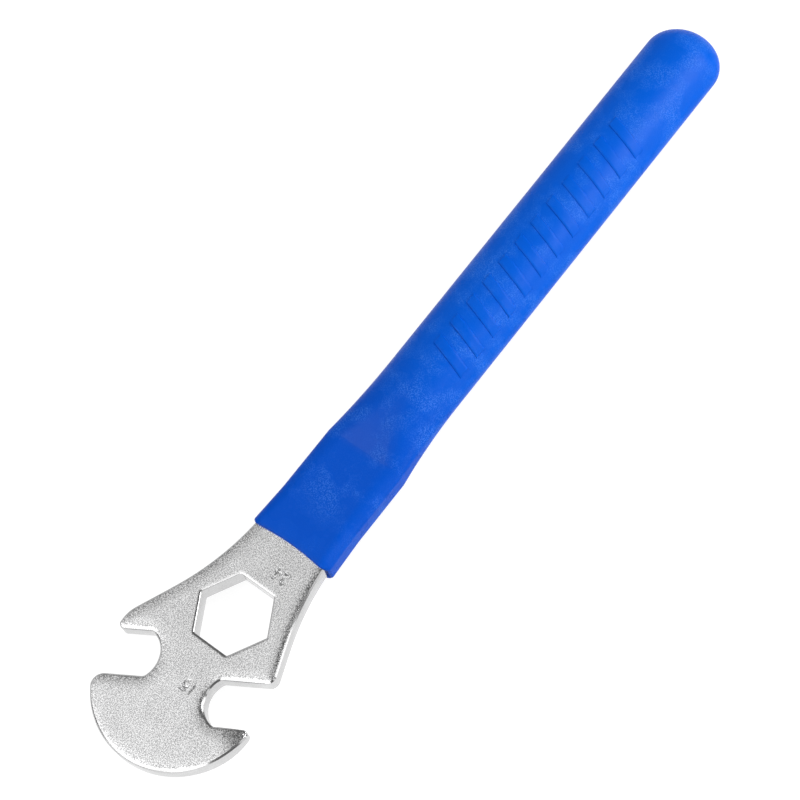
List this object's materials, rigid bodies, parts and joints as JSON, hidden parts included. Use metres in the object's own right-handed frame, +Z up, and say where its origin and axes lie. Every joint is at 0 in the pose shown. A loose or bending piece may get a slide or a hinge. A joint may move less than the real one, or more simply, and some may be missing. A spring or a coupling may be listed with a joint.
{
  "type": "pedal wrench",
  "caption": "Forged bicycle pedal wrench with opposed open jaws in a half-moon head, a hexagon hole in its neck and a moulded oval grip sleeve.",
  "frame": {"origin": "under the middle of the whole wrench, on the surface it lies on", "axes": "+X along the handle from the head to the grip's cap, +Y towards the side of the jaw whose upper lip runs out to a beak, +Z up, square to the faces of the steel"},
  "size_m": [0.3062, 0.0586, 0.019],
  "materials": {
    "steel": "satin",
    "vinyl": "matte"
  },
  "bodies": {
    "root": {"forged_wrench": "steel", "grip_sleeve": "vinyl"}
  },
  "joints": []
}
